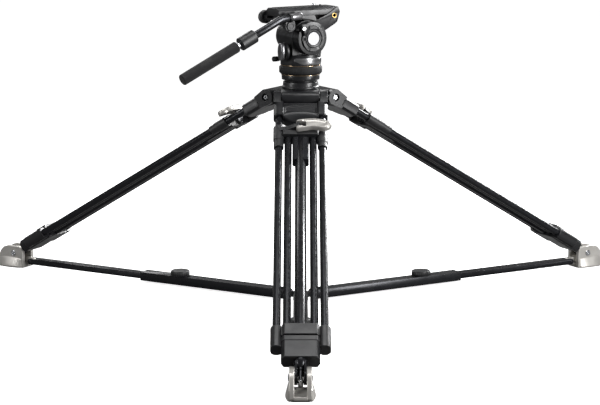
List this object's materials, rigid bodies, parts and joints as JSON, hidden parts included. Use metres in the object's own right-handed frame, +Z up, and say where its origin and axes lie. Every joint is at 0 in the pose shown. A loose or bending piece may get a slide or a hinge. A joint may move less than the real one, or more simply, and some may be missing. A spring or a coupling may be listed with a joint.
{
  "type": "video tripod with fluid head",
  "caption": "Video tripod with fluid head, pan bar, double-stage tube legs with lock levers, ground spreader and foot shoes; head pans and tilts, legs extend and fold.",
  "frame": {"origin": "on the pan axis, on the floor under the spreader hub", "axes": "+Z up along the pan axis, -Y towards the front leg"},
  "size_m": [1.3216, 1.1445, 0.5935],
  "materials": {
    "crown": "satin, fine-grained",
    "hinge_bolts": "plated",
    "neck": "satin, fine-grained",
    "front_upper_yoke": "satin, fine-grained",
    "front_upper_tubes": "satin black anodised",
    "front_upper_collar": "satin, fine-grained",
    "front_mid_slider": "fine texture",
    "front_mid_tubes": "satin black anodised",
    "front_mid_collar": "satin, fine-grained",
    "front_lock_lever": "fine metallic satin",
    "front_lower_leg": "satin black anodised",
    "front_shoe": "fine metallic satin",
    "front_spreader_rod": "satin black anodised",
    "front_spreader_channel": "satin black anodised",
    "front_spreader_knob": "fine texture",
    "right_upper_yoke": "satin, fine-grained",
    "right_upper_tubes": "satin black anodised",
    "right_upper_collar": "satin, fine-grained",
    "right_mid_slider": "fine texture",
    "right_mid_tubes": "satin black anodised",
    "right_mid_collar": "satin, fine-grained",
    "right_lock_lever": "fine metallic satin",
    "right_lower_leg": "satin black anodised",
    "right_shoe": "fine metallic satin",
    "right_spreader_rod": "satin black anodised",
    "right_spreader_channel": "satin black anodised",
    "right_spreader_knob": "fine texture",
    "left_upper_yoke": "satin, fine-grained",
    "left_upper_tubes": "satin black anodised",
    "left_upper_collar": "satin, fine-grained",
    "left_mid_slider": "fine texture",
    "left_mid_tubes": "satin black anodised",
    "left_mid_collar": "satin, fine-grained",
    "left_lock_lever": "fine metallic satin",
    "left_lower_leg": "satin black anodised",
    "left_shoe": "fine metallic satin",
    "left_spreader_rod": "satin black anodised",
    "left_spreader_channel": "satin black anodised",
    "left_spreader_knob": "fine texture",
    "spreader_hub": "satin, fine-grained",
    "head_base": "satin, fine-grained",
    "ring_trims": "polished ring",
    "bowl_clamp_knob": "fine texture",
    "pan_ring": "matte",
    "head_body": "satin, fine-grained",
    "pan_lock_knob": "fine texture",
    "drag_knob": "fine texture",
    "drag_handle": "circular brushed",
    "counterbalance_dial": "fine texture",
    "dial_badge": "circular brushed",
    "tilt_lock_lever": "satin, fine-grained",
    "platform": "satin, fine-grained",
    "plate_clamp_knob": "fine texture",
    "camera_plate": "satin, fine-grained",
    "camera_screw": "plated",
    "bar_clamp": "satin, fine-grained",
    "pan_bar": "satin black anodised",
    "bar_collar": "fine texture",
    "grip_tube": "satin black anodised",
    "grip": "closed-cell foam"
  },
  "bodies": {
    "crown": {"crown": "crown", "hinge_bolts": "hinge_bolts", "neck": "neck"},
    "front_upper_leg": {"front_upper_yoke": "front_upper_yoke", "front_upper_tubes": "front_upper_tubes", "front_upper_collar": "front_upper_collar"},
    "front_middle_leg": {"front_mid_slider": "front_mid_slider", "front_mid_tubes": "front_mid_tubes", "front_mid_collar": "front_mid_collar"},
    "front_lever": {"front_lock_lever": "front_lock_lever"},
    "front_bottom_leg": {"front_lower_leg": "front_lower_leg"},
    "front_foot_shoe": {"front_shoe": "front_shoe"},
    "front_rod": {"front_spreader_rod": "front_spreader_rod"},
    "front_channel": {"front_spreader_channel": "front_spreader_channel"},
    "front_knob": {"front_spreader_knob": "front_spreader_knob"},
    "right_upper_leg": {"right_upper_yoke": "right_upper_yoke", "right_upper_tubes": "right_upper_tubes", "right_upper_collar": "right_upper_collar"},
    "right_middle_leg": {"right_mid_slider": "right_mid_slider", "right_mid_tubes": "right_mid_tubes", "right_mid_collar": "right_mid_collar"},
    "right_lever": {"right_lock_lever": "right_lock_lever"},
    "right_bottom_leg": {"right_lower_leg": "right_lower_leg"},
    "right_foot_shoe": {"right_shoe": "right_shoe"},
    "right_rod": {"right_spreader_rod": "right_spreader_rod"},
    "right_channel": {"right_spreader_channel": "right_spreader_channel"},
    "right_knob": {"right_spreader_knob": "right_spreader_knob"},
    "left_upper_leg": {"left_upper_yoke": "left_upper_yoke", "left_upper_tubes": "left_upper_tubes", "left_upper_collar": "left_upper_collar"},
    "left_middle_leg": {"left_mid_slider": "left_mid_slider", "left_mid_tubes": "left_mid_tubes", "left_mid_collar": "left_mid_collar"},
    "left_lever": {"left_lock_lever": "left_lock_lever"},
    "left_bottom_leg": {"left_lower_leg": "left_lower_leg"},
    "left_foot_shoe": {"left_shoe": "left_shoe"},
    "left_rod": {"left_spreader_rod": "left_spreader_rod"},
    "left_channel": {"left_spreader_channel": "left_spreader_channel"},
    "left_knob": {"left_spreader_knob": "left_spreader_knob"},
    "hub": {"spreader_hub": "spreader_hub"},
    "head_level": {"head_base": "head_base", "ring_trims": "ring_trims"},
    "bowl_clamp": {"bowl_clamp_knob": "bowl_clamp_knob"},
    "pan_ring": {"pan_ring": "pan_ring"},
    "pan_head": {"head_body": "head_body"},
    "pan_lock": {"pan_lock_knob": "pan_lock_knob"},
    "drag": {"drag_knob": "drag_knob", "drag_handle": "drag_handle"},
    "dial": {"counterbalance_dial": "counterbalance_dial", "dial_badge": "dial_badge"},
    "tilt_lock": {"tilt_lock_lever": "tilt_lock_lever"},
    "tilt_head": {"platform": "platform"},
    "plate_clamp": {"plate_clamp_knob": "plate_clamp_knob"},
    "slide_plate": {"camera_plate": "camera_plate"},
    "camera_screw": {"camera_screw": "camera_screw"},
    "bar": {"bar_clamp": "bar_clamp", "pan_bar": "pan_bar"},
    "collar": {"bar_collar": "bar_collar"},
    "grip": {"grip_tube": "grip_tube", "grip": "grip"}
  },
  "joints": [
    {"name": "front_leg_fold", "type": "hinge", "parent": "crown", "child": "front_upper_leg", "pos_m": [0, -0.05, 0.413], "axis": [-1, 0, 0], "range_deg": [-52, 0]},
    {"name": "front_middle_slide", "type": "slide", "parent": "front_upper_leg", "child": "front_middle_leg", "axis": [0, -0.8621, -0.5067], "range_m": [0, 0.4]},
    {"name": "front_lower_slide", "type": "slide", "parent": "front_middle_leg", "child": "front_bottom_leg", "axis": [0, -0.8621, -0.5067], "range_m": [0, 0.4]},
    {"name": "front_lever_swing", "type": "hinge", "parent": "front_middle_leg", "child": "front_lever", "pos_m": [-0.005, -0.14792, 0.37633], "axis": [0, -0.8621, -0.5067], "range_deg": [0, 100]},
    {"name": "front_shoe_pivot", "type": "hinge", "parent": "front_bottom_leg", "child": "front_foot_shoe", "pos_m": [0, -0.7, 0.031], "axis": [-1, 0, 0], "range_deg": [0, 52]},
    {"name": "front_rod_pivot", "type": "hinge", "parent": "front_foot_shoe", "child": "front_rod", "pos_m": [0, -0.664, 0.014], "axis": [-1, 0, 0], "range_deg": [-80, 0]},
    {"name": "front_channel_slide", "type": "slide", "parent": "front_rod", "child": "front_channel", "axis": [0, 1, 0], "range_m": [-0.262, 0]},
    {"name": "front_spreader_knob_turn", "type": "hinge", "parent": "front_channel", "child": "front_knob", "pos_m": [0, -0.286, 0.014], "axis": [0, 0, 1], "range_deg": [-90, 90]},
    {"name": "right_leg_fold", "type": "hinge", "parent": "crown", "child": "right_upper_leg", "pos_m": [0.0433, 0.025, 0.413], "axis": [0.5, -0.866, 0], "range_deg": [-52, 0]},
    {"name": "right_middle_slide", "type": "slide", "parent": "right_upper_leg", "child": "right_middle_leg", "axis": [0.7466, 0.4311, -0.5067], "range_m": [0, 0.4]},
    {"name": "right_lower_slide", "type": "slide", "parent": "right_middle_leg", "child": "right_bottom_leg", "axis": [0.7466, 0.4311, -0.5067], "range_m": [0, 0.4]},
    {"name": "right_lever_swing", "type": "hinge", "parent": "right_middle_leg", "child": "right_lever", "pos_m": [0.1306, 0.06963, 0.37633], "axis": [0.7466, 0.4311, -0.5067], "range_deg": [0, 100]},
    {"name": "right_shoe_pivot", "type": "hinge", "parent": "right_bottom_leg", "child": "right_foot_shoe", "pos_m": [0.60622, 0.35, 0.031], "axis": [0.5, -0.866, 0], "range_deg": [0, 52]},
    {"name": "right_rod_pivot", "type": "hinge", "parent": "right_foot_shoe", "child": "right_rod", "pos_m": [0.57504, 0.332, 0.014], "axis": [0.5, -0.866, 0], "range_deg": [-80, 0]},
    {"name": "right_channel_slide", "type": "slide", "parent": "right_rod", "child": "right_channel", "axis": [-0.866, -0.5, 0], "range_m": [-0.262, 0]},
    {"name": "right_spreader_knob_turn", "type": "hinge", "parent": "right_channel", "child": "right_knob", "pos_m": [0.24768, 0.143, 0.014], "axis": [0, 0, 1], "range_deg": [-90, 90]},
    {"name": "left_leg_fold", "type": "hinge", "parent": "crown", "child": "left_upper_leg", "pos_m": [-0.0433, 0.025, 0.413], "axis": [0.5, 0.866, 0], "range_deg": [-52, 0]},
    {"name": "left_middle_slide", "type": "slide", "parent": "left_upper_leg", "child": "left_middle_leg", "axis": [-0.7466, 0.4311, -0.5067], "range_m": [0, 0.4]},
    {"name": "left_lower_slide", "type": "slide", "parent": "left_middle_leg", "child": "left_bottom_leg", "axis": [-0.7466, 0.4311, -0.5067], "range_m": [0, 0.4]},
    {"name": "left_lever_swing", "type": "hinge", "parent": "left_middle_leg", "child": "left_lever", "pos_m": [-0.1256, 0.07829, 0.37633], "axis": [-0.7466, 0.4311, -0.5067], "range_deg": [0, 100]},
    {"name": "left_shoe_pivot", "type": "hinge", "parent": "left_bottom_leg", "child": "left_foot_shoe", "pos_m": [-0.60622, 0.35, 0.031], "axis": [0.5, 0.866, 0], "range_deg": [0, 52]},
    {"name": "left_rod_pivot", "type": "hinge", "parent": "left_foot_shoe", "child": "left_rod", "pos_m": [-0.57504, 0.332, 0.014], "axis": [0.5, 0.866, 0], "range_deg": [-80, 0]},
    {"name": "left_channel_slide", "type": "slide", "parent": "left_rod", "child": "left_channel", "axis": [0.866, -0.5, 0], "range_m": [-0.262, 0]},
    {"name": "left_spreader_knob_turn", "type": "hinge", "parent": "left_channel", "child": "left_knob", "pos_m": [-0.24768, 0.143, 0.014], "axis": [0, 0, 1], "range_deg": [-90, 90]},
    {"name": "hub_pivot", "type": "hinge", "parent": "front_channel", "child": "hub", "pos_m": [0, -0.034, 0.014], "axis": [-1, 0, 0], "range_deg": [0, 80]},
    {"name": "head_level", "type": "hinge", "parent": "crown", "child": "head_level", "pos_m": [0, 0, 0.447], "axis": [1, 0, 0], "range_deg": [-5, 5]},
    {"name": "bowl_clamp_turn", "type": "hinge", "parent": "head_level", "child": "bowl_clamp", "pos_m": [0, 0, 0.39], "axis": [0, 0, 1], "range_deg": [-180, 180]},
    {"name": "pan_ring_turn", "type": "hinge", "parent": "head_level", "child": "pan_ring", "pos_m": [0, 0, 0.466], "axis": [0, 0, 1], "range_deg": [-45, 45]},
    {"name": "pan", "type": "hinge", "parent": "head_level", "child": "pan_head", "pos_m": [0, 0, 0.487], "axis": [0, 0, 1], "continuous": true},
    {"name": "pan_lock_turn", "type": "hinge", "parent": "pan_head", "child": "pan_lock", "pos_m": [-0.04706, -0.00583, 0.487], "axis": [-0.848, -0.5299, 0], "range_deg": [-90, 90]},
    {"name": "drag_turn", "type": "hinge", "parent": "pan_head", "child": "drag", "pos_m": [-0.03117, -0.03127, 0.504], "axis": [-0.848, -0.5299, 0], "range_deg": [-135, 135]},
    {"name": "dial_turn", "type": "hinge", "parent": "pan_head", "child": "dial", "pos_m": [0.02438, -0.03901, 0.53], "axis": [0.5299, -0.848, 0], "range_deg": [-135, 135]},
    {"name": "tilt_lock_swing", "type": "hinge", "parent": "pan_head", "child": "tilt_lock", "pos_m": [0.00477, -0.0548, 0.551], "axis": [0.5299, -0.848, 0], "range_deg": [-30, 30]},
    {"name": "tilt", "type": "hinge", "parent": "pan_head", "child": "tilt_head", "pos_m": [0, 0, 0.53], "axis": [0.5299, -0.848, 0], "range_deg": [-55, 30]},
    {"name": "plate_clamp_turn", "type": "hinge", "parent": "tilt_head", "child": "plate_clamp", "pos_m": [-0.06848, -0.00741, 0.5695], "axis": [0.5299, -0.848, 0], "range_deg": [-90, 90]},
    {"name": "plate_slide", "type": "slide", "parent": "tilt_head", "child": "slide_plate", "axis": [0.848, 0.5299, 0], "range_m": [-0.035, 0]},
    {"name": "camera_screw_turn", "type": "hinge", "parent": "slide_plate", "child": "camera_screw", "pos_m": [0.02544, 0.0159, 0.588], "axis": [0, 0, 1], "continuous": true},
    {"name": "bar_pivot", "type": "hinge", "parent": "tilt_head", "child": "bar", "pos_m": [-0.02099, -0.05321, 0.556], "axis": [-0.5299, 0.848, 0], "range_deg": [-10, 28]},
    {"name": "bar_collar_turn", "type": "hinge", "parent": "bar", "child": "collar", "pos_m": [-0.10111, -0.10799, 0.534], "axis": [-0.7661, -0.4787, -0.4289], "range_deg": [-90, 90]},
    {"name": "grip_slide", "type": "slide", "parent": "bar", "child": "grip", "axis": [-0.7661, -0.4787, -0.4289], "range_m": [0, 0.05]}
  ],
  "couplings": [
    {"joint": "front_shoe_pivot", "follows": "front_leg_fold", "ratio": -1},
    {"joint": "front_rod_pivot", "follows": "front_leg_fold", "ratio": 1.4721},
    {"joint": "front_channel_slide", "follows": "front_leg_fold", "m_per_rad": 0.2801},
    {"joint": "right_leg_fold", "follows": "front_leg_fold", "ratio": 1},
    {"joint": "right_shoe_pivot", "follows": "front_leg_fold", "ratio": -1},
    {"joint": "right_rod_pivot", "follows": "front_leg_fold", "ratio": 1.4721},
    {"joint": "right_channel_slide", "follows": "front_leg_fold", "m_per_rad": 0.2801},
    {"joint": "left_leg_fold", "follows": "front_leg_fold", "ratio": 1},
    {"joint": "left_shoe_pivot", "follows": "front_leg_fold", "ratio": -1},
    {"joint": "left_rod_pivot", "follows": "front_leg_fold", "ratio": 1.4721},
    {"joint": "left_channel_slide", "follows": "front_leg_fold", "m_per_rad": 0.2801},
    {"joint": "hub_pivot", "follows": "front_leg_fold", "ratio": -1.4721}
  ]
}
